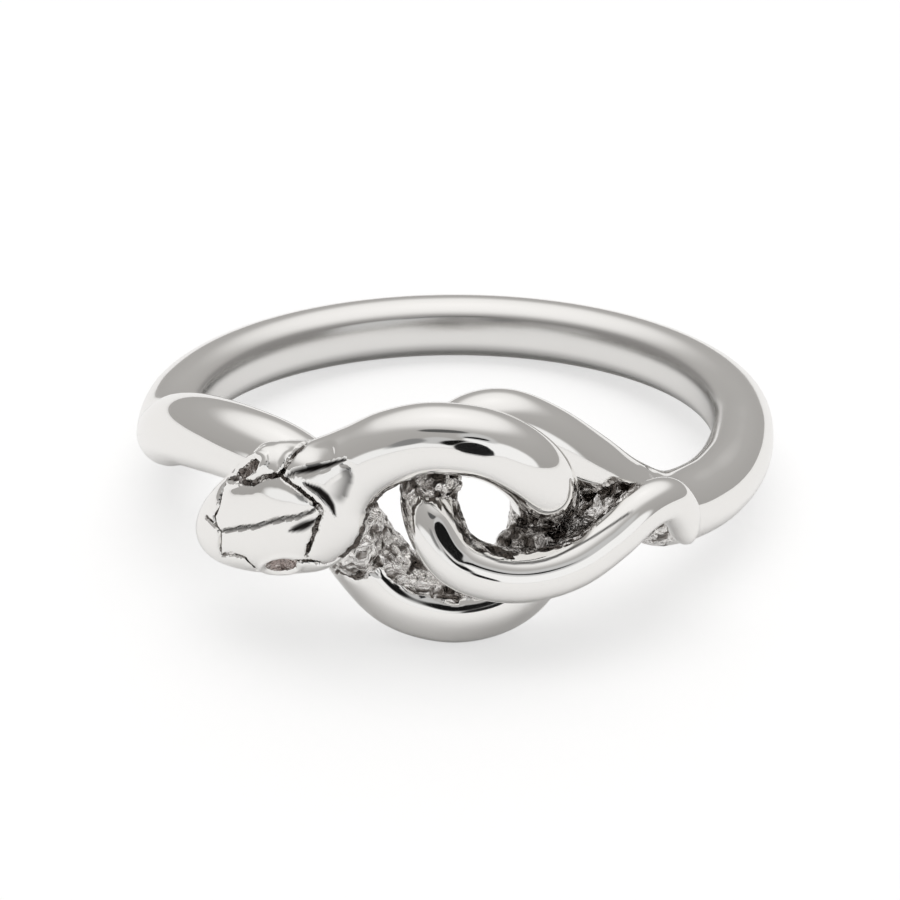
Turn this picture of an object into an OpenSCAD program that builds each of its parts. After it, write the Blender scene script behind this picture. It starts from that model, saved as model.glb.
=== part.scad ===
// Snake wrap ring: one casting in polished silver.
// A snake circles the finger. Its two halves meet in front as two linked coils: the left half
// loops under, over the right coil and back to the head, and the right half loops over, under
// the left coil and forward to the tail. The ring lies on its side, as it rests by itself.

/* [Ring] */
// Diameter of the finger hole
finger_d = 17.3; // [15:0.1:21]
// Thickness of the round band behind the finger
wire_d = 2.2; // [1.8:0.05:2.6]
// How far the finger hole cuts a flat land into the round band
land_depth = 0.2; // [0.1:0.05:0.4]

/* [Knot] */
// Length of the knot round the finger, from shank to shank
knot_length = 28; // [24:0.5:32]
// Height that the shares in the tables' height column are taken from
knot_height = 6.4; // [5.6:0.1:7.2]
// Step outward from the under coil to the over coil
coil_lift = 2.2; // [1.9:0.05:2.5]
// Thickness of the snake's body in the knot
body_d = 2.2; // [1.9:0.05:2.5]

/* [Head] */
// Width of the head across the jaws
head_w = 4.3; // [3.6:0.1:4.8]
// Thickness of the head from crown to throat
head_t = 2.4; // [2:0.1:2.8]

/* [Tail] */
// Thickness of the tail where it leaves the coil
tail_d = 1.6; // [1.2:0.05:1.8]

/* [Smoothness] */
// Sides of the body's cross section
sides = 16; // [12:2:20]
// Rings between two rows of a table
steps = 3; // [2:1:4]

/* [Hidden] */
$fn = 48;

finger_r = finger_d / 2;
band_r = finger_r + wire_d / 2 - land_depth;
half_turn = knot_length / band_r * 90 / PI;
// The finger hole's cutter passes both ends of the knot
hole_reach = 2 * knot_height;

// Columns of the tables of sections: where the body's centre lies along the knot (share of
// knot_length, from the middle, + to the right), how high (share of knot_height), how far out
// (share of coil_lift), the section's width and depth (shares of its size), and how far that size
// has gone over from body_d to the size of the head or the tail (0 to 1)
ALONG = 0;
HEIGHT = 1;
OUT = 2;
WIDTH = 3;
DEPTH = 4;
BLEND = 5;

// Left half from the band to the turn of its coil
left_under = [
    [-0.520, 0.00, 0.00, 0.96, 0.96, 0],
    [-0.470, 0.06, 0.00, 1.00, 1.00, 0],
    [-0.400, 0.20, 0.02, 1.06, 1.04, 0],
    [-0.330, 0.29, 0.05, 1.11, 1.06, 0],
    [-0.258, 0.33, 0.08, 1.11, 1.06, 0],
    [-0.196, 0.29, 0.05, 1.11, 1.04, 0],
    [-0.142, 0.14, 0.02, 1.11, 1.02, 0],
    [-0.100, -0.11, 0.02, 1.11, 1.02, 0],
    [-0.061, -0.28, 0.02, 1.11, 1.04, 0],
    [-0.011, -0.345, 0.02, 1.11, 1.06, 0],
    [0.032, -0.33, 0.02, 1.08, 1.04, 0],
    [0.065, -0.26, 0.02, 1.04, 1.02, 0],
    [0.087, -0.14, 0.02, 1.00, 1.00, 0],
    [0.095, -0.01, 0.02, 0.96, 0.96, 0],
    [0.096, 0.11, 0.10, 0.94, 0.94, 0]
];

// Left half from there over the right coil, through the neck and head to the snout
left_over = [
    [0.096, 0.11, 0.10, 0.94, 0.94, 0],
    [0.091, 0.24, 0.38, 0.96, 0.96, 0],
    [0.080, 0.37, 0.72, 0.98, 0.98, 0],
    [0.063, 0.49, 0.88, 0.98, 0.98, 0],
    [0.040, 0.58, 0.91, 0.98, 0.98, 0],
    [0.012, 0.63, 0.91, 0.98, 0.98, 0],
    [-0.024, 0.64, 0.90, 0.98, 0.98, 0],
    [-0.056, 0.59, 0.90, 1.02, 0.98, 0],
    [-0.082, 0.51, 0.91, 1.06, 0.98, 0],
    [-0.102, 0.425, 0.93, 1.16, 0.98, 0.1],
    [-0.116, 0.35, 0.95, 1.14, 0.99, 0.5],
    [-0.130, 0.29, 0.98, 1.00, 1.00, 0.9],
    [-0.146, 0.24, 1.00, 1.00, 1.00, 1],
    [-0.165, 0.18, 1.00, 0.92, 0.98, 1],
    [-0.184, 0.125, 1.00, 0.81, 0.93, 1],
    [-0.203, 0.075, 0.98, 0.70, 0.86, 1],
    [-0.222, 0.022, 0.94, 0.57, 0.76, 1],
    [-0.236, -0.015, 0.91, 0.44, 0.62, 1],
    [-0.246, -0.038, 0.88, 0.30, 0.44, 1],
    [-0.252, -0.050, 0.86, 0.12, 0.18, 1]
];

// Right half from the band to the turn of its coil
right_under = [
    [0.520, 0.00, 0.00, 0.96, 0.96, 0],
    [0.470, -0.02, 0.00, 1.00, 1.00, 0],
    [0.400, -0.04, 0.02, 1.02, 1.02, 0],
    [0.326, -0.05, 0.02, 1.06, 1.04, 0],
    [0.252, -0.01, 0.02, 1.08, 1.04, 0],
    [0.193, 0.14, 0.02, 1.04, 1.02, 0],
    [0.147, 0.32, 0.02, 1.00, 1.00, 0],
    [0.099, 0.49, 0.02, 0.98, 0.98, 0],
    [0.054, 0.59, 0.02, 0.96, 0.96, 0],
    [0.015, 0.57, 0.02, 0.92, 0.94, 0],
    [-0.015, 0.45, 0.08, 0.86, 0.90, 0],
    [-0.027, 0.30, 0.32, 0.82, 0.86, 0.1]
];

// Right half from there over the left coil to the tip of the tail
right_over = [
    [-0.027, 0.30, 0.32, 0.82, 0.86, 0.1],
    [-0.019, 0.16, 0.64, 0.90, 0.94, 0.4],
    [0.000, 0.02, 0.82, 1.00, 1.02, 0.8],
    [0.032, -0.055, 0.88, 1.06, 1.08, 1],
    [0.068, -0.075, 0.90, 1.03, 1.04, 1],
    [0.108, -0.035, 0.90, 1.00, 1.00, 1],
    [0.146, 0.06, 0.86, 0.96, 0.96, 1],
    [0.183, 0.17, 0.82, 0.92, 0.90, 1],
    [0.211, 0.175, 0.78, 0.88, 0.86, 1],
    [0.230, 0.08, 0.73, 0.80, 0.78, 1],
    [0.239, -0.02, 0.68, 0.64, 0.66, 1],
    [0.244, -0.085, 0.65, 0.38, 0.42, 1],
    [0.246, -0.11, 0.64, 0.14, 0.16, 1]
];

// Metal that the casting left between the coils: along the neck, under the arch of the left
// coil, in the eye of the right coil and in the fork before the tail
webs = [
    [[-0.080, 0.14, 0.30, 0.20, 0.30, 0], [-0.092, 0.04, 0.42, 0.55, 0.70, 0],
        [-0.105, -0.06, 0.42, 0.60, 0.70, 0], [-0.124, -0.14, 0.34, 0.25, 0.30, 0]],
    [[-0.048, 0.31, 0.34, 0.20, 0.30, 0], [-0.032, 0.34, 0.38, 0.45, 0.65, 0],
        [-0.016, 0.35, 0.38, 0.50, 0.70, 0], [0.000, 0.32, 0.30, 0.20, 0.30, 0]],
    [[0.046, -0.02, 0.32, 0.20, 0.30, 0], [0.068, 0.00, 0.26, 0.60, 0.80, 0],
        [0.092, 0.02, 0.26, 0.60, 0.80, 0], [0.120, 0.05, 0.30, 0.20, 0.30, 0]],
    [[0.122, 0.04, 0.30, 0.40, 0.50, 0], [0.142, 0.10, 0.26, 0.70, 0.80, 0],
        [0.170, 0.15, 0.20, 0.70, 0.80, 0], [0.210, 0.20, 0.16, 0.25, 0.30, 0]]
];

// Lowest side of the coils, and the tilt at which it and the back of the band meet a table
lowest = max([for (row = left_under) row[WIDTH] * body_d / 2 - row[HEIGHT] * knot_height]);
rest_tilt = atan((lowest - wire_d / 2) / (2 * band_r));

// Catmull-Rom curve through four values, t from 0 at b to 1 at c
function through(a, b, c, d, t) =
    (2 * b + (c - a) * t + (2 * a - 5 * b + 4 * c - d) * t * t
        + (3 * b - a - 3 * c + d) * t * t * t) / 2;

// Rows of a table with steps - 1 rows more in each gap, on a smooth curve through them
function smooth_rows(rows) = let (last = len(rows) - 1) concat(
    [for (i = [0:last - 1], k = [0:steps - 1])
        through(rows[max(i - 1, 0)], rows[i], rows[i + 1], rows[min(i + 2, last)], k / steps)],
    [rows[last]]
);

// Centre of a row's section; the front of the ring is at -Y
function centre(row) = let (
    a = row[ALONG] * 2 * half_turn,
    r = band_r + row[OUT] * coil_lift
) [r * sin(a), -r * cos(a), row[HEIGHT] * knot_height];

// Direction away from the finger at a row
function outward(row) = let (a = row[ALONG] * 2 * half_turn) [sin(a), -cos(a), 0];

function unit(v) = v / norm(v);

// Size of a row's section in one direction: its share of the body's size, the end's, or between
function size(row, share, end_size) =
    row[share] * (body_d + row[BLEND] * (end_size - body_d));

// Direction of the path at row i, taken over a whole table row so that wide sections never cross
function heading(rows, i) =
    unit(centre(rows[min(i + steps, len(rows) - 1)]) - centre(rows[max(i - steps, 0)]));

// One ring of points: an ellipse square to the path, its depth leaning on the outward direction
function section(rows, i, end_width, end_depth) = let (
    c = centre(rows[i]),
    ahead = heading(rows, i),
    across = unit(cross(ahead, outward(rows[i]))) * size(rows[i], WIDTH, end_width) / 2,
    deep = unit(cross(across, ahead)) * size(rows[i], DEPTH, end_depth) / 2
) [for (k = [0:sides - 1]) let (a = 360 * k / sides) c + across * cos(a) + deep * sin(a)];

// Closed skin over the sections of a table
module sweep(table, end_width = body_d, end_depth = body_d) {
    rows = smooth_rows(table);
    last = len(rows) - 1;
    points = [for (i = [0:last]) each section(rows, i, end_width, end_depth)];
    polyhedron(points, concat(
        [[for (k = [sides - 1:-1:0]) k]],
        [for (i = [0:last - 1], k = [0:sides - 1]) let (n = (k + 1) % sides)
            each [
                [i * sides + k, (i + 1) * sides + n, (i + 1) * sides + k],
                [i * sides + k, i * sides + n, (i + 1) * sides + n]
            ]],
        [[for (k = [0:sides - 1]) last * sides + k]]
    ));
}

module band() {
    reach = 180 - half_turn;
    rotate([0, 0, 90 - reach])
        rotate_extrude(angle = 2 * reach)
            translate([band_r, 0])
                circle(d = wire_d);
}

module knot() {
    sweep(left_under);
    sweep(left_over, head_w, head_t);
    sweep(right_under, tail_d, tail_d);
    sweep(right_over, tail_d, tail_d);
    for (web = webs)
        sweep(web);
}

module snake_ring() {
    color("silver")
        rotate([-rest_tilt, 0, 0])
            difference() {
                union() {
                    band();
                    knot();
                }
                // The hole's seam faces the knot, so that its wall is one face round the band
                rotate([0, 0, -90])
                    cylinder(r = finger_r, h = 2 * hole_reach, center = true);
            }
}

snake_ring();
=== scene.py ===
import math

import bmesh
import bpy
import numpy as np
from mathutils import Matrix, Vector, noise


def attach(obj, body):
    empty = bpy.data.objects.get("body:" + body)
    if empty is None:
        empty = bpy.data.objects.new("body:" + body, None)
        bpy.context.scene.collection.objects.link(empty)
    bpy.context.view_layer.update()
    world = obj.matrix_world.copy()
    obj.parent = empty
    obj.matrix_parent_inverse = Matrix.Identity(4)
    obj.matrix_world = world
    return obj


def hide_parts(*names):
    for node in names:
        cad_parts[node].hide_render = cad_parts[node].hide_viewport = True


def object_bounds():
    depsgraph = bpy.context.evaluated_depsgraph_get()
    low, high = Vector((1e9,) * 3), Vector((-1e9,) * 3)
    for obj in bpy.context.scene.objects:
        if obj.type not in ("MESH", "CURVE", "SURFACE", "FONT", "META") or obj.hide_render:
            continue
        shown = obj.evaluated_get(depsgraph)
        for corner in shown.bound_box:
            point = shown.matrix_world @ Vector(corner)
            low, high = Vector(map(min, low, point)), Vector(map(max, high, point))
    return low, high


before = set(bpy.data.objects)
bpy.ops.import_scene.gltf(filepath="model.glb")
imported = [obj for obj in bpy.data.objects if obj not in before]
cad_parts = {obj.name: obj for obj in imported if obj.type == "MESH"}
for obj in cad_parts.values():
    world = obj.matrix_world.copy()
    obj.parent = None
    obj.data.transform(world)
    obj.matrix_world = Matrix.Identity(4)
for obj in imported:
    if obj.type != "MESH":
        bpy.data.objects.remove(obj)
cad_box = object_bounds()


# View: the photograph looks at the knot from the front with a long lens, 28.7 degrees above the table.
# The camera aims at the centre of the finger hole, and its shift moves that centre off the middle.

view_height = math.radians(28.70)
view_distance = 0.11387

camera = bpy.data.objects.new("camera", bpy.data.cameras.new("camera"))
bpy.context.scene.collection.objects.link(camera)
camera.location = (0, -math.cos(view_height) * view_distance, math.sin(view_height) * view_distance)
camera.rotation_euler = (math.pi / 2 - view_height, 0, 0)
camera.data.lens = 136.13
camera.data.sensor_width = 36
camera.data.shift_x = -0.0057
camera.data.shift_y = -0.0302
camera.data.clip_start = 0.005
bpy.context.scene.camera = camera
bpy.context.scene.view_settings.view_transform = "Standard"


# Table: a sheet of matt white acrylic, which the ring lies on by itself.
# The camera sees it washed out to white, as in the photograph, so that only a faint shadow is left on it.

def colour(hex_code):
    """An sRGB hex colour as the linear colour that the shaders take."""
    parts = [int(hex_code[i:i + 2], 16) / 255 for i in (1, 3, 5)]
    return tuple(c / 12.92 if c < 0.04045 else ((c + 0.055) / 1.055) ** 2.4 for c in parts) + (1,)


def add(tree, kind, links=(), **settings):
    """Adds a node with its settings, gives its sockets links or values, and returns it. A socket goes by
    its name, or by its number where several sockets share a name."""
    node = tree.nodes.new(kind)
    for name, value in settings.items():
        setattr(node, name, value)
    for socket, value in dict(links).items():
        if isinstance(value, bpy.types.NodeSocket):
            tree.links.new(value, node.inputs[socket])
        else:
            node.inputs[socket].default_value = value
    return node


def new_material(name):
    """A material with no nodes yet, and its tree."""
    material = bpy.data.materials.new(name)
    material.use_nodes = True
    material.node_tree.nodes.clear()
    return material, material.node_tree


sheet_reach = 1.0
table_mesh = bpy.data.meshes.new("table")
table_mesh.from_pydata(
    [(x * sheet_reach, y * sheet_reach, cad_box[0][2]) for x, y in ((-1, -1), (1, -1), (1, 1), (-1, 1))],
    [], [(0, 1, 2, 3)])
table = bpy.data.objects.new("table", table_mesh)
bpy.context.scene.collection.objects.link(table)

# Its fine grain scatters the light, so it mirrors nothing and takes soft shadows
acrylic, tree = new_material("matt white acrylic")
washed_share = 0.56
ray = add(tree, "ShaderNodeLightPath")
sheet = add(tree, "ShaderNodeBsdfDiffuse", {"Color": colour("#F6F6F6")})
washed = add(tree, "ShaderNodeEmission", {"Color": (1, 1, 1, 1), "Strength": 1.1})
wash = add(tree, "ShaderNodeMixShader", {0: washed_share, 1: sheet.outputs[0], 2: washed.outputs[0]})
whole = add(tree, "ShaderNodeMixShader", {
    0: ray.outputs["Is Camera Ray"], 1: sheet.outputs[0], 2: wash.outputs[0]})
add(tree, "ShaderNodeOutputMaterial", {"Surface": whole.outputs[0]})
table_mesh.materials.append(acrylic)


# Light: a white tent over the table, bright overhead and grey round the sides, as the silver mirrors it.
# White and grey cards stand in front, and dark strips round the lens give the polish its black accents.

world = bpy.data.worlds.new("white tent")
bpy.context.scene.world = world
world.use_nodes = True
tree = world.node_tree
tree.nodes.clear()
direction = add(tree, "ShaderNodeTexCoord")
parts = add(tree, "ShaderNodeSeparateXYZ", {0: direction.outputs["Generated"]})
rise = add(tree, "ShaderNodeMath", {0: parts.outputs["Z"]}, operation="ARCSINE")
front = add(tree, "ShaderNodeMath", {0: parts.outputs["Y"], 1: -1.0}, operation="MULTIPLY")
swing = add(tree, "ShaderNodeMath", {0: parts.outputs["X"], 1: front.outputs[0]}, operation="ARCTAN2")

# The tent's axis leans back, so that its bright roof comes lower behind the ring than in front
tent_lean = math.radians(16.5)
leaning = add(tree, "ShaderNodeVectorMath", {
    0: direction.outputs["Generated"], 1: (0, math.sin(tent_lean), math.cos(tent_lean))},
    operation="DOT_PRODUCT")
leant = add(tree, "ShaderNodeMath", {0: leaning.outputs["Value"]}, operation="ARCSINE")
height = add(tree, "ShaderNodeMapRange", {
    "Value": leant.outputs[0], "From Min": 0.0, "From Max": math.pi / 2})
tent = add(tree, "ShaderNodeValToRGB", {"Fac": height.outputs[0]})
tent.color_ramp.elements[1].color = (1.05, 1.038, 1.03, 1)
tent.color_ramp.elements[0].color = (0.39, 0.38, 0.37, 1)
# Each: degrees up the tent, and its tone there, which is a little warm
tent_tones = (
    (12, 0.41), (26, 0.425), (38, 0.45), (43, 0.53),
    (48, 0.68), (53, 0.83), (60, 0.92), (72, 0.97))
for degrees, tone in tent_tones:
    tent.color_ramp.elements.new(degrees / 90).color = (tone + 0.003, tone - 0.008, tone - 0.018, 1)

# Each card: how far right of the front its middle stands, how high above the table, half its width and
# half its height, all in degrees, the share of its size over which its edge fades, and its tone
cards = (
    (32, 8, 26, 24, 0.3, 0.96),
    (18, 24, 11, 16, 0.3, 0.96),
    (-31, 3, 36, 13, 0.4, 0.92),
    (-7, 21, 10, 11, 0.4, 0.55),
    (21, 39, 15, 12, 0.5, 0.58),
    (-22, 19, 9, 9, 0.5, 0.24),
    (-6, 52, 23, 5, 0.4, 0.10),
    (18, 36, 10, 4, 0.3, 0.006),
    (8, 3, 5, 6, 0.4, 0.01),
    (1, 14.5, 7, 8.5, 0.4, 0.006))
around = tent.outputs[0]
for card_swing, card_rise, half_width, half_height, edge, card_tone in cards:
    squares = []
    for place, middle, half in ((swing, card_swing, half_width), (rise, card_rise, half_height)):
        apart = add(tree, "ShaderNodeMath", {
            0: place.outputs[0], 1: math.radians(middle)}, operation="SUBTRACT")
        share = add(tree, "ShaderNodeMath", {
            0: apart.outputs[0], 1: math.radians(half)}, operation="DIVIDE")
        squares.append(add(tree, "ShaderNodeMath", {0: share.outputs[0], 1: 2.0}, operation="POWER"))
    both = add(tree, "ShaderNodeMath", {
        0: squares[0].outputs[0], 1: squares[1].outputs[0]}, operation="ADD")
    inside = add(tree, "ShaderNodeMapRange", {
        "Value": both.outputs[0], "From Min": 1 + edge, "From Max": 1 - edge},
        interpolation_type="SMOOTHSTEP")
    around = add(tree, "ShaderNodeMix", {
        0: inside.outputs[0], 6: around, 7: (card_tone, card_tone, card_tone, 1)},
        data_type="RGBA").outputs[2]
lit = add(tree, "ShaderNodeBackground", {"Color": around, "Strength": 1.0})
plain = add(tree, "ShaderNodeBackground", {"Color": (1, 1, 1, 1), "Strength": 1.0})
ray = add(tree, "ShaderNodeLightPath")
seen = add(tree, "ShaderNodeMixShader", {
    0: ray.outputs["Is Camera Ray"], 1: lit.outputs[0], 2: plain.outputs[0]})
add(tree, "ShaderNodeOutputWorld", {"Surface": seen.outputs[0]})

# The soft box overhead only lights: the silver mirrors the tent's roof in its place
lamp = bpy.data.lights.new("soft box", "AREA")
lamp.shape = "RECTANGLE"
lamp.size, lamp.size_y = 0.5, 0.4
lamp.energy = 1.0
soft_box = bpy.data.objects.new("soft box", lamp)
bpy.context.scene.collection.objects.link(soft_box)
soft_box.location = (0, 0, 0.5)
soft_box.visible_camera = soft_box.visible_glossy = False


# Snake: one casting in sterling silver, a single body from the snout round the finger to the tail's tip.
# It was filed and polished after casting, and the hole was reamed to the finger's size.
# Its skin is swept along tables of sections, which have the same shares of the same sizes as the solid.

mm = 0.001
finger_d, wire_d, land_depth = 17.3, 2.2, 0.2
knot_length, knot_height, coil_lift = 28, 6.4, 2.2
body_d, head_w, head_t, tail_d = 2.2, 4.3, 2.4, 1.6
band_r = finger_d / 2 + wire_d / 2 - land_depth
half_turn = knot_length / band_r * 90 / math.pi
full_turn = 180 / half_turn

# Each row is a section: where its centre lies along the knot (share of knot_length, from the middle, +
# to the right), how high (share of knot_height), how far out (share of coil_lift), its width and depth
# (shares of its size), and how far that size has gone over from the body's to the head's or the tail's
left_under = [
    [-0.520, 0.00, 0.00, 0.96, 0.96, 0], [-0.470, 0.06, 0.00, 1.00, 1.00, 0],
    [-0.400, 0.20, 0.02, 1.06, 1.04, 0], [-0.330, 0.29, 0.05, 1.11, 1.06, 0],
    [-0.258, 0.33, 0.08, 1.11, 1.06, 0], [-0.196, 0.29, 0.05, 1.11, 1.04, 0],
    [-0.142, 0.14, 0.02, 1.11, 1.02, 0], [-0.100, -0.11, 0.02, 1.11, 1.02, 0],
    [-0.061, -0.28, 0.02, 1.11, 1.04, 0], [-0.011, -0.345, 0.02, 1.11, 1.06, 0],
    [0.032, -0.33, 0.02, 1.08, 1.04, 0], [0.065, -0.26, 0.02, 1.04, 1.02, 0],
    [0.087, -0.14, 0.02, 1.00, 1.00, 0], [0.095, -0.01, 0.02, 0.96, 0.96, 0]]
left_over = [
    [0.096, 0.11, 0.10, 0.94, 0.94, 0], [0.091, 0.24, 0.38, 0.96, 0.96, 0],
    [0.080, 0.37, 0.72, 0.98, 0.98, 0], [0.063, 0.49, 0.88, 0.98, 0.98, 0],
    [0.040, 0.58, 0.91, 0.98, 0.98, 0], [0.012, 0.63, 0.91, 0.98, 0.98, 0],
    [-0.024, 0.64, 0.90, 0.98, 0.98, 0], [-0.056, 0.59, 0.90, 1.02, 0.98, 0],
    [-0.082, 0.51, 0.91, 1.06, 0.98, 0], [-0.102, 0.425, 0.93, 1.16, 0.98, 0.1],
    [-0.116, 0.35, 0.95, 1.14, 0.99, 0.5], [-0.130, 0.29, 0.98, 1.00, 1.00, 0.9],
    [-0.146, 0.24, 1.00, 1.00, 1.00, 1], [-0.165, 0.18, 1.00, 0.92, 0.98, 1],
    [-0.184, 0.125, 1.00, 0.81, 0.93, 1], [-0.203, 0.075, 0.98, 0.70, 0.86, 1],
    [-0.222, 0.022, 0.94, 0.57, 0.76, 1], [-0.236, -0.015, 0.91, 0.44, 0.62, 1],
    [-0.246, -0.038, 0.88, 0.30, 0.44, 1], [-0.252, -0.050, 0.86, 0.12, 0.18, 1]]
right_under = [
    [0.520, 0.00, 0.00, 0.96, 0.96, 0], [0.470, -0.02, 0.00, 1.00, 1.00, 0],
    [0.400, -0.04, 0.02, 1.02, 1.02, 0], [0.326, -0.05, 0.02, 1.06, 1.04, 0],
    [0.252, -0.01, 0.02, 1.08, 1.04, 0], [0.193, 0.14, 0.02, 1.04, 1.02, 0],
    [0.147, 0.32, 0.02, 1.00, 1.00, 0], [0.099, 0.49, 0.02, 0.98, 0.98, 0],
    [0.054, 0.59, 0.02, 0.96, 0.96, 0], [0.015, 0.57, 0.02, 0.92, 0.94, 0],
    [-0.015, 0.45, 0.08, 0.86, 0.90, 0]]
right_over = [
    [-0.027, 0.30, 0.32, 0.82, 0.86, 0.1], [-0.019, 0.16, 0.64, 0.90, 0.94, 0.4],
    [0.000, 0.02, 0.82, 1.00, 1.02, 0.8], [0.032, -0.055, 0.88, 1.06, 1.08, 1],
    [0.068, -0.075, 0.90, 1.03, 1.04, 1], [0.108, -0.035, 0.90, 1.00, 1.00, 1],
    [0.146, 0.06, 0.86, 0.96, 0.96, 1], [0.183, 0.17, 0.82, 0.92, 0.90, 1],
    [0.211, 0.175, 0.78, 0.88, 0.86, 1], [0.230, 0.08, 0.73, 0.80, 0.78, 1],
    [0.239, -0.02, 0.68, 0.64, 0.66, 1], [0.244, -0.085, 0.65, 0.38, 0.42, 1],
    [0.246, -0.11, 0.64, 0.14, 0.16, 1]]

# Lowest side of the coils, and the tilt at which it and the back of the band meet the table
lowest = max(wide * body_d / 2 - high * knot_height for _, high, _, wide, _, _ in left_under)
rest_tilt = math.atan((lowest - wire_d / 2) / (2 * band_r))
tilt_cos, tilt_sin = math.cos(rest_tilt), math.sin(rest_tilt)


def sections(rows, end_width=body_d, end_depth=body_d):
    """Rows of a table with the width and depth worked out in millimetres."""
    return [[along, high, out,
             wide * (body_d + blend * (end_width - body_d)),
             deep * (body_d + blend * (end_depth - body_d))]
            for along, high, out, wide, deep, blend in rows]


def through(rows, t):
    """Catmull-Rom curve through the rows at the places t, counted in rows."""
    i = np.clip(np.floor(t).astype(int), 0, len(rows) - 2)
    f = (t - i)[:, None]
    a, b, c, d = (rows[np.clip(i + k, 0, len(rows) - 1)] for k in (-1, 0, 1, 2))
    return (2 * b + (c - a) * f + (2 * a - 5 * b + 4 * c - d) * f ** 2
            + (3 * b - a - 3 * c + d) * f ** 3) / 2


def centres(rows):
    """Centres of the sections in millimetres, in the ring's own plane."""
    angle = np.radians(rows[:, 0] * 2 * half_turn)
    r = band_r + rows[:, 2] * coil_lift
    return np.stack([r * np.sin(angle), -r * np.cos(angle), rows[:, 1] * knot_height], 1)


def unit(v):
    """The vectors at a length of one."""
    return v / np.linalg.norm(v, axis=1)[:, None]


def framed(rows, t):
    """Centre, half width and half depth of the body at the places t, as vectors in millimetres, and the
    way ahead."""
    here = through(rows, t)
    centre = centres(here)
    after = centres(through(rows, np.minimum(t + 1, len(rows) - 1)))
    before = centres(through(rows, np.maximum(t - 1, 0)))
    ahead = unit(after - before)
    angle = np.radians(here[:, 0] * 2 * half_turn)
    across = unit(np.cross(ahead, np.stack([np.sin(angle), -np.cos(angle), 0 * angle], 1)))
    deep = unit(np.cross(across, ahead))
    return centre, across * here[:, 3:4] / 2, deep * here[:, 4:5] / 2, ahead


def store(mesh, label, values):
    """Stores a number or a vector for each point of a mesh."""
    if np.ndim(values) == 2:
        stored = mesh.attributes.new(label, "FLOAT_VECTOR", "POINT")
        stored.data.foreach_set("vector", np.ravel(values))
    else:
        stored = mesh.attributes.new(label, "FLOAT", "POINT")
        stored.data.foreach_set("value", values)


def path_mesh(name, rows, spacing, lands):
    """The body's path as a line of points in metres, with half its width and half its depth stored as
    vectors. spacing is the distance between rings at each row, in millimetres. lands is how far round
    the section, in degrees, its first fifth of points reaches where the hole cuts no land."""
    rows = np.array(rows, float)
    fine_steps = 60 * len(rows)
    fine = np.linspace(0, len(rows) - 1, fine_steps)
    at = centres(through(rows, fine))
    step = np.interp(fine, np.arange(len(rows)), spacing)
    count = np.r_[0, np.cumsum(np.linalg.norm(np.diff(at, axis=0), axis=1) / step[1:])]
    t = np.interp(np.linspace(0, count[-1], int(count[-1]) + 1), count, fine)
    centre, across, deep, ahead = framed(rows, t)
    # Half the angle over which the hole cuts a flat land into the body
    reach = (np.hypot(centre[:, 0], centre[:, 1]) - finger_d / 2) / np.linalg.norm(deep, axis=1)
    given = np.radians(np.interp(t, np.arange(len(rows)), lands))
    land = np.arccos(np.clip(reach, -1, np.cos(given)))
    # Both ends close in a dome, whose rings shrink to a point
    shrink, dome_height = np.array([0.92, 0.7, 0.38, 0.0])[:, None], 0.6
    lift = dome_height * np.sqrt(1 - shrink ** 2)
    start = centre[0] - ahead[0] * lift[::-1] * np.linalg.norm(deep[0])
    end = centre[-1] + ahead[-1] * lift * np.linalg.norm(deep[-1])
    mesh = bpy.data.meshes.new(name)
    mesh.from_pydata((np.concatenate([start, centre, end]) * mm).tolist(), [], [])
    for label, values in (("across", across), ("deep", deep)):
        store(mesh, label, np.concatenate([values[0] * shrink[::-1], values, values[-1] * shrink]) * mm)
    for label, values in (("land", land), ("row", t)):
        store(mesh, label, np.pad(values, len(shrink), mode="edge"))
    path = bpy.data.objects.new(name, mesh)
    bpy.context.scene.collection.objects.link(path)
    return path


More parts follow.
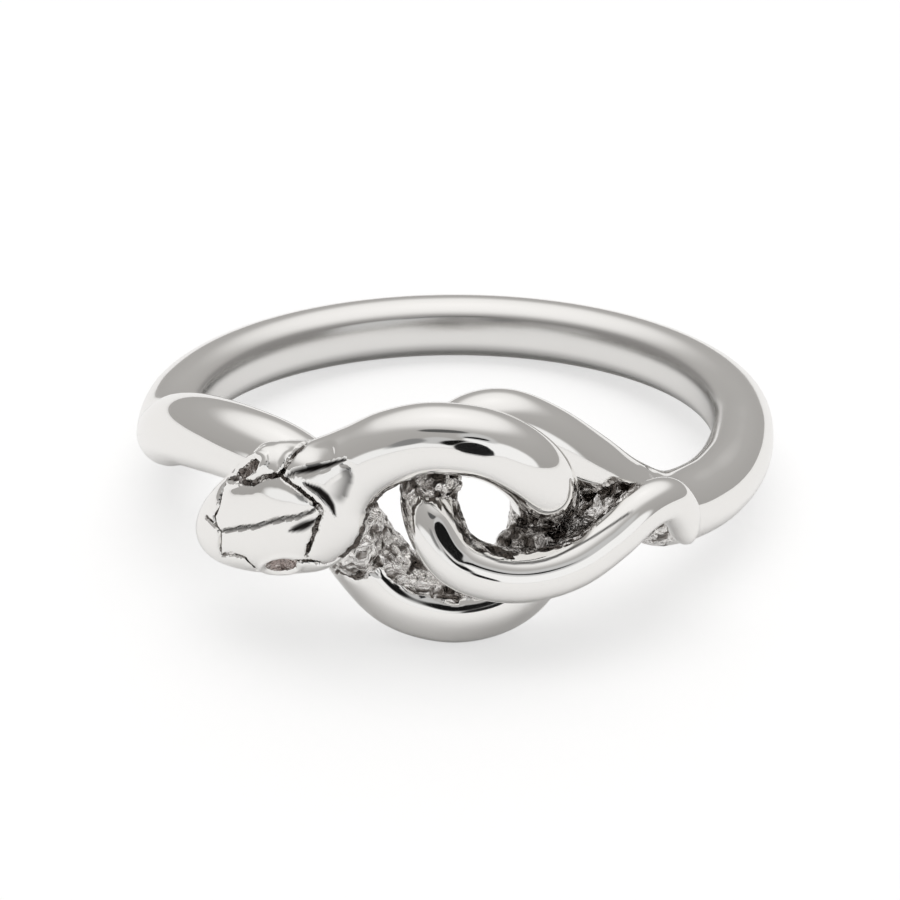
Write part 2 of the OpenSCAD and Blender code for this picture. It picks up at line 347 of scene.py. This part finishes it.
def swept_skin(name, finish):
    """A tree that wraps a closed skin round a path of sections and reams it out to the finger hole."""
    tree = bpy.data.node_groups.new(name, "GeometryNodeTree")
    for label, kind in (
            ("Path", "Geometry"), ("Sides", "Int"), ("Hole radius", "Float"), ("Reamed share", "Float")):
        tree.interface.new_socket(label, in_out="INPUT", socket_type="NodeSocket" + kind)
    tree.interface.new_socket("Skin", in_out="OUTPUT", socket_type="NodeSocketGeometry")
    given = add(tree, "NodeGroupInput")
    rings = add(tree, "GeometryNodeAttributeDomainSize", {
        "Geometry": given.outputs["Path"]}, component="MESH")
    # The last point of each ring lies on its first, and the two are merged at the end
    ring_points = add(tree, "FunctionNodeIntegerMath", {0: given.outputs["Sides"], 1: 1}, operation="ADD")
    grid = add(tree, "GeometryNodeMeshGrid", {
        "Vertices X": rings.outputs["Point Count"], "Vertices Y": ring_points.outputs[0]})
    number = add(tree, "GeometryNodeInputIndex")
    ring = add(tree, "FunctionNodeIntegerMath", {
        0: number.outputs[0], 1: ring_points.outputs[0]}, operation="DIVIDE_FLOOR")
    place = add(tree, "FunctionNodeIntegerMath", {
        0: number.outputs[0], 1: ring_points.outputs[0]}, operation="MODULO")

    # Each point reads its ring's centre and sizes off the path
    of_ring = {}
    for label, kind in (("centre", "FLOAT_VECTOR"), ("across", "FLOAT_VECTOR"), ("deep", "FLOAT_VECTOR"),
                        ("land", "FLOAT"), ("row", "FLOAT")):
        if label == "centre":
            value = add(tree, "GeometryNodeInputPosition")
        else:
            value = add(tree, "GeometryNodeInputNamedAttribute", {"Name": label}, data_type=kind)
        of_ring[label] = add(tree, "GeometryNodeSampleIndex", {
            "Geometry": given.outputs["Path"], "Value": value.outputs[0], "Index": ring.outputs[0]},
            data_type=kind, domain="POINT").outputs[0]

    # From -1 to 1 round the section, with 0 towards the finger and a fifth of the points on the land
    land_share = 0.2
    share = add(tree, "ShaderNodeMapRange", {
        "Value": place.outputs[0], "From Min": 0.0, "From Max": given.outputs["Sides"],
        "To Min": -1.0, "To Max": 1.0})
    apart = add(tree, "ShaderNodeMath", {0: share.outputs[0]}, operation="ABSOLUTE")
    way = add(tree, "ShaderNodeMath", {0: share.outputs[0]}, operation="SIGN")
    on_land = add(tree, "ShaderNodeMapRange", {
        "Value": apart.outputs[0], "From Min": 0.0, "From Max": land_share,
        "To Min": 0.0, "To Max": of_ring["land"]})
    rest = add(tree, "ShaderNodeMath", {0: math.pi, 1: of_ring["land"]}, operation="SUBTRACT")
    off_land = add(tree, "ShaderNodeMapRange", {
        "Value": apart.outputs[0], "From Min": land_share, "From Max": 1.0,
        "To Min": 0.0, "To Max": rest.outputs[0]})
    turned = add(tree, "ShaderNodeMath", {0: on_land.outputs[0], 1: off_land.outputs[0]}, operation="ADD")
    turn = add(tree, "ShaderNodeMath", {0: turned.outputs[0], 1: way.outputs[0]}, operation="MULTIPLY")
    sine = add(tree, "ShaderNodeMath", {0: turn.outputs[0]}, operation="SINE")
    cosine = add(tree, "ShaderNodeMath", {0: turn.outputs[0]}, operation="COSINE")
    sideways = add(tree, "ShaderNodeVectorMath", {
        0: of_ring["across"], "Scale": sine.outputs[0]}, operation="SCALE")
    inwards = add(tree, "ShaderNodeVectorMath", {
        0: of_ring["deep"], "Scale": cosine.outputs[0]}, operation="SCALE")
    beside = add(tree, "ShaderNodeVectorMath", {
        0: of_ring["centre"], 1: sideways.outputs[0]}, operation="ADD")
    point = add(tree, "ShaderNodeVectorMath", {
        0: beside.outputs[0], 1: inwards.outputs[0]}, operation="SUBTRACT")

    # A point inside the hole moves straight out towards the hole's wall, by the reamed share of the way
    level = add(tree, "ShaderNodeVectorMath", {0: point.outputs[0], 1: (1, 1, 0)}, operation="MULTIPLY")
    radius = add(tree, "ShaderNodeVectorMath", {0: level.outputs[0]}, operation="LENGTH")
    short = add(tree, "ShaderNodeMath", {
        0: given.outputs["Hole radius"], 1: radius.outputs["Value"]}, operation="DIVIDE")
    more = add(tree, "ShaderNodeMath", {0: short.outputs[0], 1: 1.0}, operation="SUBTRACT")
    inside = add(tree, "ShaderNodeMath", {0: more.outputs[0], 1: 0.0}, operation="MAXIMUM")
    push = add(tree, "ShaderNodeMath", {
        0: inside.outputs[0], 1: given.outputs["Reamed share"]}, operation="MULTIPLY")
    moved = add(tree, "ShaderNodeVectorMath", {
        0: level.outputs[0], "Scale": push.outputs[0]}, operation="SCALE")
    reamed = add(tree, "ShaderNodeVectorMath", {0: point.outputs[0], 1: moved.outputs[0]}, operation="ADD")
    shaped = add(tree, "GeometryNodeSetPosition", {
        "Geometry": grid.outputs["Mesh"], "Position": reamed.outputs[0]})
    with_row = add(tree, "GeometryNodeStoreNamedAttribute", {
        "Geometry": shaped.outputs[0], "Name": "row", "Value": of_ring["row"]},
        data_type="FLOAT", domain="POINT")
    with_turn = add(tree, "GeometryNodeStoreNamedAttribute", {
        "Geometry": with_row.outputs[0], "Name": "turn", "Value": turn.outputs[0]},
        data_type="FLOAT", domain="POINT")
    closed = add(tree, "GeometryNodeMergeByDistance", {"Geometry": with_turn.outputs[0], "Distance": 1e-6})
    smooth = add(tree, "GeometryNodeSetShadeSmooth", {"Geometry": closed.outputs[0]})
    real = add(tree, "GeometryNodeRealizeInstances", {"Geometry": smooth.outputs[0]})
    painted = add(tree, "GeometryNodeSetMaterial", {"Geometry": real.outputs[0], "Material": finish})
    add(tree, "NodeGroupOutput", {"Skin": painted.outputs[0]})
    return tree


def bake(path, tree, sides, name):
    """Runs the tree on the path and gives its result as a plain mesh object."""
    wrap = path.modifiers.new("skin", "NODES")
    wrap.node_group = tree
    inputs = {item.name: item.identifier for item in tree.interface.items_tree if item.in_out == "INPUT"}
    wrap[inputs["Sides"]] = sides
    wrap[inputs["Hole radius"]] = finger_d / 2 * mm
    # Polishing rounded the land that the reamer cut, back to half of the cut's depth
    wrap[inputs["Reamed share"]] = 0.5
    shown = path.evaluated_get(bpy.context.evaluated_depsgraph_get())
    mesh = bpy.data.meshes.new_from_object(shown)
    bpy.data.objects.remove(path)
    mesh.name = name
    shell = bmesh.new()
    shell.from_mesh(mesh)
    bmesh.ops.recalc_face_normals(shell, faces=shell.faces)
    shell.to_mesh(mesh)
    shell.free()
    piece = bpy.data.objects.new(name, mesh)
    bpy.context.scene.collection.objects.link(piece)
    return piece


def positions(mesh):
    """The points of a mesh."""
    found = np.zeros(len(mesh.vertices) * 3)
    mesh.vertices.foreach_get("co", found)
    return found.reshape(-1, 3)


def normals(mesh):
    """The way out of the skin at each point of a mesh."""
    found = np.zeros(len(mesh.vertices) * 3)
    mesh.vertex_normals.foreach_get("vector", found)
    return found.reshape(-1, 3)


def read(mesh, label):
    """The number stored for each point of a mesh."""
    found = np.zeros(len(mesh.vertices))
    mesh.attributes[label].data.foreach_get("value", found)
    return found


def lay_down(mesh):
    """Turns a mesh from the ring's own plane to the tilt at which the ring rests."""
    at = positions(mesh)
    y, z = at[:, 1].copy(), at[:, 2].copy()
    at[:, 1] = y * tilt_cos + z * tilt_sin
    at[:, 2] = -y * tilt_sin + z * tilt_cos
    mesh.vertices.foreach_set("co", at.ravel())
    mesh.update()


def smoothstep(low, high, x):
    """0 up to low, 1 from high on, and a soft rise between the two."""
    x = np.clip((x - low) / (high - low), 0, 1)
    return x * x * (3 - 2 * x)


def grain(at, size, octaves=3):
    """Noise from about -1 to 1 at points in millimetres, with lumps of that size in millimetres."""
    return np.array([noise.fractal(p, 1.0, 2.0, octaves) for p in (at / size).tolist()])


def crumple(at, size):
    """Sharp ridges and round hollows from about -1 to 1 at points in millimetres, that far apart."""
    return 1 - 3 * np.abs(grain(at, size, 4))


def from_line(at, line):
    """Distance from each point to a line of points, and how far along it the nearest place is, from 0
    to 1."""
    best, along = np.full(len(at), 1e9), np.zeros(len(at))
    lengths = np.r_[0, np.cumsum(np.linalg.norm(np.diff(line, axis=0), axis=1))]
    for i, (a, b) in enumerate(zip(line[:-1], line[1:])):
        f = np.clip((at - a) @ (b - a) / ((b - a) @ (b - a)), 0, 1)
        d = np.linalg.norm(at - a - f[:, None] * (b - a), axis=1)
        nearer = d < best
        best[nearer] = d[nearer]
        along[nearer] = ((lengths[i] + f * (lengths[i + 1] - lengths[i])) / lengths[-1])[nearer]
    return best, along


# As cast, the silver is dark and crumpled, with glints. Filed and polished, it is a bright mirror with
# faint waves. Grit breaks up the cast skin's edge, folds crumple it, and waves are left by polishing.
grit_size, fold_size, wave_size = 0.12 * mm, 0.5 * mm, 2.5 * mm
silver, tree = new_material("sterling silver, polished over as-cast recesses")
place = add(tree, "ShaderNodeTexCoord").outputs["Object"]
cast = add(tree, "ShaderNodeAttribute", attribute_name="rough")
# The dark attribute carries painted reflections and painted shade, and the darkening of the engraved lines
darkening_and_painted_shade = add(tree, "ShaderNodeAttribute", attribute_name="dark")
brushed = add(tree, "ShaderNodeAttribute", attribute_name="satin")
inside_eye = add(tree, "ShaderNodeAttribute", attribute_name="eye")
buffed_ridges = add(tree, "ShaderNodeAttribute", attribute_name="rubbed")
grit = add(tree, "ShaderNodeTexNoise", {
    "Vector": place, "Scale": 1 / grit_size, "Detail": 4.0, "Roughness": 0.6})
folds = add(tree, "ShaderNodeTexNoise", {
    "Vector": place, "Scale": 1 / fold_size, "Detail": 3.0, "Roughness": 0.5, "Distortion": 0.9})
waves = add(tree, "ShaderNodeTexNoise", {"Vector": place, "Scale": 1 / wave_size, "Detail": 1.0})
ragged_edge = add(tree, "ShaderNodeMath", {
    0: grit.outputs[0], 1: 0.45, 2: cast.outputs["Fac"]}, operation="MULTIPLY_ADD")
edge = add(tree, "ShaderNodeMapRange", {
    "Value": ragged_edge.outputs[0], "From Min": 0.68, "From Max": 0.78})

# Hollows of the folds are dark, partly the cast skin's own tone and partly painted shade, and their ridges
# were rubbed bright
bared = add(tree, "ShaderNodeMath", {
    0: buffed_ridges.outputs["Fac"], 1: 0.12, 2: folds.outputs[0]}, operation="MULTIPLY_ADD")
speckle = add(tree, "ShaderNodeValToRGB", {"Fac": bared.outputs[0]})
hollow_and_painted_shade, ridge = speckle.color_ramp.elements
hollow_and_painted_shade.position, hollow_and_painted_shade.color = 0.44, colour("#5C5651")
ridge.position, ridge.color = 0.59, colour("#F8F6F4")
speckle.color_ramp.elements.new(0.51).color = colour("#8C8783")
tint = add(tree, "ShaderNodeMath", {0: inside_eye.outputs["Fac"], 1: 0.7}, operation="MULTIPLY")
eye_tone = add(tree, "ShaderNodeMix", {
    0: tint.outputs[0], 6: speckle.outputs[0], 7: colour("#D3C2BD")}, data_type="RGBA")
skin = add(tree, "ShaderNodeMix", {
    0: edge.outputs[0], 6: colour("#F4F3F1"), 7: eye_tone.outputs[2]}, data_type="RGBA")
# Near black mixed in by the dark attribute: painted reflections and painted shade on the polish, and
# darker engraved lines
painted_shade_and_darkening = add(tree, "ShaderNodeMix", {
    0: darkening_and_painted_shade.outputs["Fac"], 6: skin.outputs[2], 7: colour("#1C1A19")}, data_type="RGBA")

# The polish is clearest on the outer sides, and the band's inner wall kept the buff's satin
gloss = add(tree, "ShaderNodeMapRange", {"Value": waves.outputs[0], "To Min": 0.04, "To Max": 0.08})
buffed = add(tree, "ShaderNodeMix", {0: brushed.outputs["Fac"], 2: gloss.outputs[0], 3: 0.22})
matt = add(tree, "ShaderNodeMapRange", {"Value": grit.outputs[0], "To Min": 0.03, "To Max": 0.14})
roughness = add(tree, "ShaderNodeMix", {0: edge.outputs[0], 2: buffed.outputs[0], 3: matt.outputs[0]})
crease = add(tree, "ShaderNodeMath", {0: folds.outputs[0], 1: 0.5}, operation="SUBTRACT")
sharp = add(tree, "ShaderNodeMath", {0: crease.outputs[0]}, operation="ABSOLUTE")
relief = add(tree, "ShaderNodeMath", {0: sharp.outputs[0], 1: edge.outputs[0]}, operation="MULTIPLY")
bump = add(tree, "ShaderNodeBump", {
    "Height": relief.outputs[0], "Distance": 0.5 * mm, "Strength": 1.0}, invert=True)
soft = add(tree, "ShaderNodeBump", {
    "Height": waves.outputs[0], "Distance": 0.02 * mm, "Strength": 1.0, "Normal": bump.outputs[0]})
shader = add(tree, "ShaderNodeBsdfPrincipled", {
    "Base Color": painted_shade_and_darkening.outputs[2], "Metallic": 1.0, "Roughness": roughness.outputs[0],
    "Normal": soft.outputs[0]})
add(tree, "ShaderNodeOutputMaterial", {"Surface": shader.outputs[0]})

# The body runs from the snout to the band, round its back, and from there to the tip of the tail. Past
# the back, a full turn comes off each share, so that the rows keep running one way.
left = sections(left_under + left_over, head_w, head_t)[::-1]
band_rows = [[share, 0, 0, wire_d, wire_d] for share in (-0.62, -0.74, -0.86, -0.98, -1.0714)]
band_back = [[share - full_turn, 0, 0, wire_d, wire_d] for share in (0.98, 0.86, 0.74, 0.62)]
right = [[row[0] - full_turn] + row[1:] for row in sections(right_under + right_over, tail_d, tail_d)]
snake_rows = np.array(left + band_rows + band_back + right, float)

# Rings lie close on the head, at these distances in millimetres, and wide round the back of the band
spacing = np.interp(
    range(len(snake_rows)),
    (8, 11, 12, 14, 15, 16, 17, 28, 29, 34, 42, 50, 51),
    (0.04, 0.045, 0.12, 0.12, 0.2, 0.2, 0.12, 0.12, 0.25, 0.5, 0.5, 0.25, 0.12))
# On the head the land's points spread round the unseen underside, which leaves fewer there
head_rows, head_land, body_land = 9, 70, 25
lands = [head_land] * head_rows + [body_land] * (len(snake_rows) - head_rows)
skin_tree = swept_skin("snake skin", silver)
snake = bake(path_mesh("snake path", snake_rows, spacing, lands), skin_tree, 160, "snake")
body = snake.data
at = positions(body) / mm
out = normals(body)
row_at = read(body, "row")
turn_at = np.degrees(read(body, "turn")) % 360
rough, dark, eye, rubbed, move = (np.zeros(len(at)) for _ in range(5))


def on_skin(places):
    """Points of the skin in millimetres, each given by its row and by the degrees turned round from the
    finger."""
    places = np.array(places, float)
    centre, across, deep, _ = framed(snake_rows, places[:, 0])
    turn = np.radians(places[:, 1])[:, None]
    return centre + across * np.sin(turn) - deep * np.cos(turn)


def ring_way(swing, rise):
    """A direction given by its swing from the front and its rise above the table, both in degrees, in
    the ring's own plane."""
    swing, rise = math.radians(swing), math.radians(rise)
    y, z = -math.cos(swing) * math.cos(rise), math.sin(rise)
    return np.array([
        math.sin(swing) * math.cos(rise), y * tilt_cos - z * tilt_sin, y * tilt_sin + z * tilt_cos])


# Small flats that polishing left on the two coils, which spread the mirrored dark strips: row and turn
# of the middle, depth in millimetres, swing and rise that each faces, and reach in millimetres
flats = ((55.55, 204, 0.026, 9, 33, 1.0), (14.15, 187, 0.025, 4, 16, 1.1))
flat_edge = 0.006
for row, turn, depth, swing, rise, reach in flats:
    facing = ring_way(swing, rise)
    middle = on_skin([(row, turn)])[0]
    close = np.flatnonzero(np.linalg.norm(at - middle, axis=1) < reach)
    proud = (at[close] - middle) @ facing + depth
    cut = flat_edge * np.log1p(np.exp(np.clip(proud / flat_edge, -30, 30)))
    fade = 1 - smoothstep(0.6, 1.0, np.linalg.norm(at[close] - middle, axis=1) / reach)
    at[close] -= facing * (cut * fade)[:, None]

# Plates behind the crown, tilted like scales: swing and rise that each faces, half its width in
# millimetres, then row and turn of each point of its middle line
tilted = (
    (-22, 60, 0.40, [(7.5, 241), (8.6, 239)]),
    (-22, 60, 0.42, [(9.25, 230), (10.3, 226)]))
most_tilt = 0.1
neck_end = 13
head = np.flatnonzero(row_at < neck_end)
for swing, rise, half, line in tilted:
    facing = ring_way(swing, rise)
    middle_line = on_skin(line)
    off, _ = from_line(at[head], middle_line)
    now = out[head][off < half].mean(axis=0)
    now /= np.linalg.norm(now)
    slope = now - facing / (facing @ now)
    on_plate = 1 - smoothstep(0.65, 1.35, off / half)
    tilt = (at[head] - middle_line.mean(axis=0)) @ slope
    move[head] += on_plate * most_tilt * np.tanh(tilt / most_tilt)

# Creases cut behind the crown, and a hollow beside the midline, with painted dark reflections in them:
# half width and depth in millimetres, then row and turn of each point
creases = (
    (0.20, 0.03, [(7.2, 168), (7.7, 167), (8.2, 166), (8.5, 166)]),
    (0.16, 0.05, [(8.36, 213), (9.02, 214), (9.72, 212), (10.46, 208), (10.95, 205)]),
    (0.20, 0.05, [(9.12, 199), (9.24, 194), (9.44, 186), (9.5, 176), (9.42, 165), (9.22, 156)]))
carving = np.zeros(len(head))
for half, depth, line in creases:
    off, along = from_line(at[head], on_skin(line))
    taper = 0.25 + 0.75 * np.sin(np.pi * along)
    cut = 1 - smoothstep(0.35, 1.0, off / (half * taper))
    carving = np.minimum(carving, -depth * cut)
    dark[head] = np.maximum(dark[head], cut)

# Engraved lines between the head's plates: half width and depth in millimetres, how far they are as
# cast and how far darkened, then row and turn of each point
plates = {
    "midline": (0.10, 0.08, 0.0, 0.8, [
        (4.15, 186), (5.2, 184), (6.1, 181), (7.0, 180), (7.9, 176), (8.7, 173)]),
    "snout": (0.085, 0.10, 0.9, 0.15, [
        (4.75, 246), (4.66, 238), (4.51, 223), (4.35, 213), (4.02, 206), (3.99, 197), (4.1, 184),
        (3.86, 173), (3.58, 162), (3.38, 152)]),
    "snout fork": (0.08, 0.08, 0.9, 0.15, [(3.32, 213), (3.75, 201), (4.05, 189)]),
    "crown": (0.13, 0.12, 0.9, 0.15, [
        (5.75, 229), (5.93, 227), (6.51, 218), (7.07, 219), (7.55, 218), (7.95, 218)]),
    "crown up": (0.14, 0.12, 0.9, 0.15, [
        (7.8, 216), (8.3, 220), (8.75, 225), (9.5, 244), (9.85, 275)]),
    "crown down": (0.09, 0.09, 0.9, 0.15, [
        (7.95, 218), (8.25, 210), (8.48, 203), (8.74, 192), (8.9, 180), (8.83, 173)]),
    "nape": (0.11, 0.10, 0.9, 0.15, [
        (8.95, 180), (8.9, 168), (8.52, 164), (7.93, 154), (7.11, 139)]),
    "lip": (0.11, 0.10, 0.9, 0.15, [
        (3.38, 152), (3.75, 154), (4.19, 155), (4.62, 149), (4.62, 132), (4.5, 118)]),
    "lip above": (0.12, 0.10, 0.9, 0.15, [(4.66, 238), (4.9, 246), (5.2, 244), (5.66, 240)]),
    "jaw": (0.11, 0.10, 0.9, 0.15, [(6.45, 134), (6.65, 137), (7.06, 130), (7.44, 111), (7.9, 104)])}
# Casting and polishing leave the edges of these lines a little ragged
rag = grain(at[head], 0.25, 2)
for half, depth, cast_share, darkened_share, line in plates.values():
    off, along = from_line(at[head], on_skin(line))
    taper = smoothstep(0, 0.12, along) * smoothstep(1, 0.88, along) * 0.5 + 0.5
    cut = 1 - smoothstep(0.2, 1.0, (off + 0.02 * rag) / (half * taper))
    # The plates also bend down softly towards each line
    bend = 0.025 * np.exp(-(off / 0.22) ** 2)
    carving = np.minimum(carving, -depth * cut - bend)
    rough[head] = np.maximum(rough[head], cast_share * cut)
    dark[head] = np.maximum(dark[head], darkened_share * cut)
move[head] += carving

# Collar: the plates end in a fine step behind the nape, with a painted dark reflection before it, darkest
# at the step
collar = [(10.7, 203), (10.9, 197), (11.0, 189), (10.92, 174), (10.74, 165), (10.24, 153), (9.74, 150)]
collar_line = on_skin(collar)
off, along = from_line(at[head], collar_line)
stops = np.r_[0, np.cumsum(np.linalg.norm(np.diff(collar_line, axis=0), axis=1))]
collar_row = np.interp(along, stops / stops[-1], [row for row, _ in collar])
before = smoothstep(0, 0.15, collar_row - row_at[head])
taper = smoothstep(0, 0.1, along) * smoothstep(1, 0.85, along)
step_depth, step_half, painted_reflection_width = 0.03, 0.12, 0.8
move[head] -= step_depth * taper * (1 - smoothstep(0.2, 1.0, off / step_half))
painted_reflection = 0.9 * taper * before * (1 - smoothstep(0.0, painted_reflection_width, off))
dark[head] = np.maximum(dark[head], painted_reflection)

# Eyes: rough oval pits in the sides of the head, each with a low rim: row and turn of the middle, half
# length and half width in millimetres, and how far each is tinted
eyes = ((5.8, 130, 0.66, 0.36, 0.6), (6.25, 238, 0.78, 0.30, 0.15))
pit_depth, rim_height = 0.14, 0.05
for row, turn, length, width, tinted in eyes:
    middle = on_skin([(row, turn)])[0]
    ahead = unit(on_skin([(row + 0.3, turn)]) - on_skin([(row - 0.3, turn)]))[0]
    round_way = unit(on_skin([(row, turn + 5)]) - on_skin([(row, turn - 5)]))[0]
    q = np.hypot((at[head] - middle) @ ahead / length, (at[head] - middle) @ round_way / width)
    pit = 1 - smoothstep(0.7, 1.05, q + 0.1 * rag)
    rim = np.exp(-((q - 1.2) / 0.18) ** 2)
    near = np.linalg.norm(at[head] - middle, axis=1) < 1
    move[head] += np.where(near, rim_height * rim - pit_depth * pit, 0)
    rough[head] = np.maximum(rough[head], np.where(near, pit, 0))
    eye[head] = np.maximum(eye[head], np.where(near, tinted * pit, 0))

# Sides of the coils that the files didn't reach: first and last row, first and last turn, and how far
# buffing rubbed the ridges bright
unpolished = (
    (7.9, 14.3, 30, 105, 0.8),
    # A share below nought makes the cast skin darker still: this strip runs along the neck's edge
    (7.9, 14.3, 96, 112, -1.5),
    (17.75, 21.5, 60, 300, 0),
    (22.6, 27.4, 40, 150, 0.35),
    (52.9, 54.35, 90, 270, 0),
    (54.3, 57.5, 242, 330, 0.3),
    (57.4, 59.5, 256, 330, 0.2),
    (59.3, 61.2, 272, 330, 0.2),
    (46.9, 47.95, 194, 262, 1))
# Millimetres to a row of the tables, and to a radian round the body, about
row_length, body_radius = 1.4, 1.1
coils_start, cast_edge = 7, 0.08
coils = np.flatnonzero(row_at >= coils_start)
ragged = 0.12 * grain(at[coils], 0.4, 3)
for first, last, low, high, bright in unpolished:
    along = np.minimum(row_at[coils] - first, last - row_at[coils]) * row_length
    round_way = np.radians(np.minimum(turn_at[coils] - low, high - turn_at[coils])) * body_radius
    cast_side = smoothstep(-cast_edge, cast_edge, np.minimum(along, round_way) + ragged)
    rough[coils] = np.maximum(rough[coils], cast_side)
    rubbed[coils] += (bright - rubbed[coils]) * cast_side
at += out * move[:, None]

# Metal that the casting left between the coils lies in these sections, in the columns of the tables:
# along the neck, under the arch of the left coil, in the eye of the right coil and in the fork before
# the tail. The coils beside it are as cast too.
webs = (
    [[-0.080, 0.14, 0.30, 0.20, 0.30, 0], [-0.092, 0.04, 0.42, 0.55, 0.70, 0],
     [-0.105, -0.06, 0.40, 0.58, 0.66, 0], [-0.120, -0.115, 0.32, 0.22, 0.28, 0]],
    [[-0.048, 0.31, 0.34, 0.20, 0.30, 0], [-0.032, 0.34, 0.38, 0.45, 0.65, 0],
     [-0.016, 0.35, 0.38, 0.50, 0.70, 0], [0.000, 0.32, 0.30, 0.20, 0.30, 0]],
    [[0.046, -0.02, 0.32, 0.20, 0.30, 0], [0.068, 0.00, 0.26, 0.60, 0.80, 0],
     [0.092, 0.02, 0.26, 0.60, 0.80, 0], [0.120, 0.05, 0.30, 0.20, 0.30, 0]],
    [[0.122, 0.04, 0.30, 0.40, 0.50, 0], [0.142, 0.10, 0.26, 0.70, 0.80, 0],
     [0.170, 0.15, 0.20, 0.70, 0.80, 0], [0.210, 0.20, 0.16, 0.25, 0.30, 0]])
web_stations = 13
for web in webs:
    rows = np.array(sections(web), float)
    line, across, deep, _ = framed(rows, np.linspace(0, len(rows) - 1, web_stations))
    off, along = from_line(at[coils], line)
    radii = (np.linalg.norm(across, axis=1) + np.linalg.norm(deep, axis=1)) / 2
    thick = np.interp(along, np.linspace(0, 1, web_stations), radii)
    rough[coils] = np.maximum(rough[coils], 1 - smoothstep(0.05, 0.35, off - thick + ragged))

# The outer side of the right coil's bend was filed clean
filed = (smoothstep(54.4, 54.7, row_at) * smoothstep(57.5, 57.0, row_at)
         * smoothstep(98, 108, turn_at) * smoothstep(240, 230, turn_at))
rough *= 1 - filed

# A fine dark line painted round the bend of the right coil and on along the tail, dark at its bottom: a
# painted reflection, with nothing cut for it. Row and turn of each point
painted_line = on_skin([
    (54.6, 214), (54.7, 221), (54.89, 226), (55.1, 232), (55.26, 239), (55.41, 245), (55.68, 250),
    (55.98, 252), (56.2, 248), (56.43, 240), (56.74, 234), (57.08, 230), (57.5, 230.5), (58.0, 231),
    (58.3, 232), (58.6, 235), (58.92, 239), (59.25, 240.5), (59.56, 238.5), (60.03, 236), (60.32, 233),
    (60.46, 230.5), (60.57, 226)])
painted_line_half, painted_line_dark = 0.06, 0.85
tail_side = np.flatnonzero((row_at > 54) & (row_at < 61))
off, along = from_line(at[tail_side], painted_line)
taper = smoothstep(0, 0.03, along) * smoothstep(1, 0.97, along)
painted_reflection = painted_line_dark * taper * (1 - smoothstep(0.3, 1.0, off / painted_line_half))
dark[tail_side] = np.maximum(dark[tail_side], painted_reflection)

# The cast skin is lumpy by a few hundredths of a millimetre
lumpy = np.flatnonzero(rough > 0.02)
at[lumpy] += out[lumpy] * (rough[lumpy] * (0.06 * crumple(at[lumpy], 0.5) - 0.03))[:, None]
body.vertices.foreach_set("co", (at * mm).ravel())

# Painted shade on the wall of the hole, deepest along both of its edges, where the wall mirrors the shaded
# table
on_band = smoothstep(31, 33.5, row_at) * smoothstep(45, 42.5, row_at)
off_middle = (turn_at + 180) % 360 - 180
wall = 0.12 * smoothstep(50, 42, np.abs(off_middle))
painted_upper_shade = 0.28 * smoothstep(10, 28, off_middle) * smoothstep(45, 38, off_middle)
painted_lower_shade = 0.45 * smoothstep(-14, -38, off_middle) * smoothstep(-62, -48, off_middle)
dark = np.maximum(dark, on_band * (wall + painted_upper_shade + painted_lower_shade))

# Towards the finger the polish goes over to satin, all round the band
facing_in = smoothstep(0.2, 0.8, np.cos(np.radians(turn_at)))
satin = np.clip(0.35 * on_band + facing_in * (0.75 + 0.25 * on_band), 0, 1)
for label, values in (
        ("rough", rough), ("dark", dark), ("eye", eye), ("rubbed", rubbed), ("satin", satin)):
    store(body, label, values)
lay_down(body)
body.set_sharp_from_angle(angle=math.radians(32))
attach(snake, "root")
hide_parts("snake_ring")


# Casting webs: metal that ran between the coils when the ring was cast, fused to them on both sides.
# No file reached it, so it keeps the dark crumpled skin of the casting.
# Each web is wrapped round its own short path by the same tree, and roughened in lumps.

web_spacing, web_land, web_sides = 0.05, 36, 72
web_parts = []
for number, web in enumerate(webs):
    path = path_mesh("web path", sections(web), [web_spacing] * len(web), [web_land] * len(web))
    web_parts.append(bake(path, skin_tree, web_sides, f"web {number}"))
first_web = len(web_parts[0].data.vertices)
joined = bmesh.new()
for part in web_parts:
    joined.from_mesh(part.data)
    bpy.data.objects.remove(part)
web_mesh = bpy.data.meshes.new("casting webs")
joined.to_mesh(web_mesh)
joined.free()
web_mesh.materials.append(silver)
at = positions(web_mesh) / mm
at += normals(web_mesh) * (0.08 * grain(at, 0.9) + 0.05 * crumple(at + 7, 0.6))[:, None]
web_mesh.vertices.foreach_set("co", (at * mm).ravel())
store(web_mesh, "rough", np.ones(len(at)))
for label in ("dark", "satin", "eye"):
    store(web_mesh, label, np.zeros(len(at)))
# The first web, along the neck, is the one that buffing reached most
store(web_mesh, "rubbed", np.where(np.arange(len(at)) < first_web, 0.75, 0.25))
lay_down(web_mesh)
casting = bpy.data.objects.new("casting_webs", web_mesh)
bpy.context.scene.collection.objects.link(casting)
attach(casting, "root")
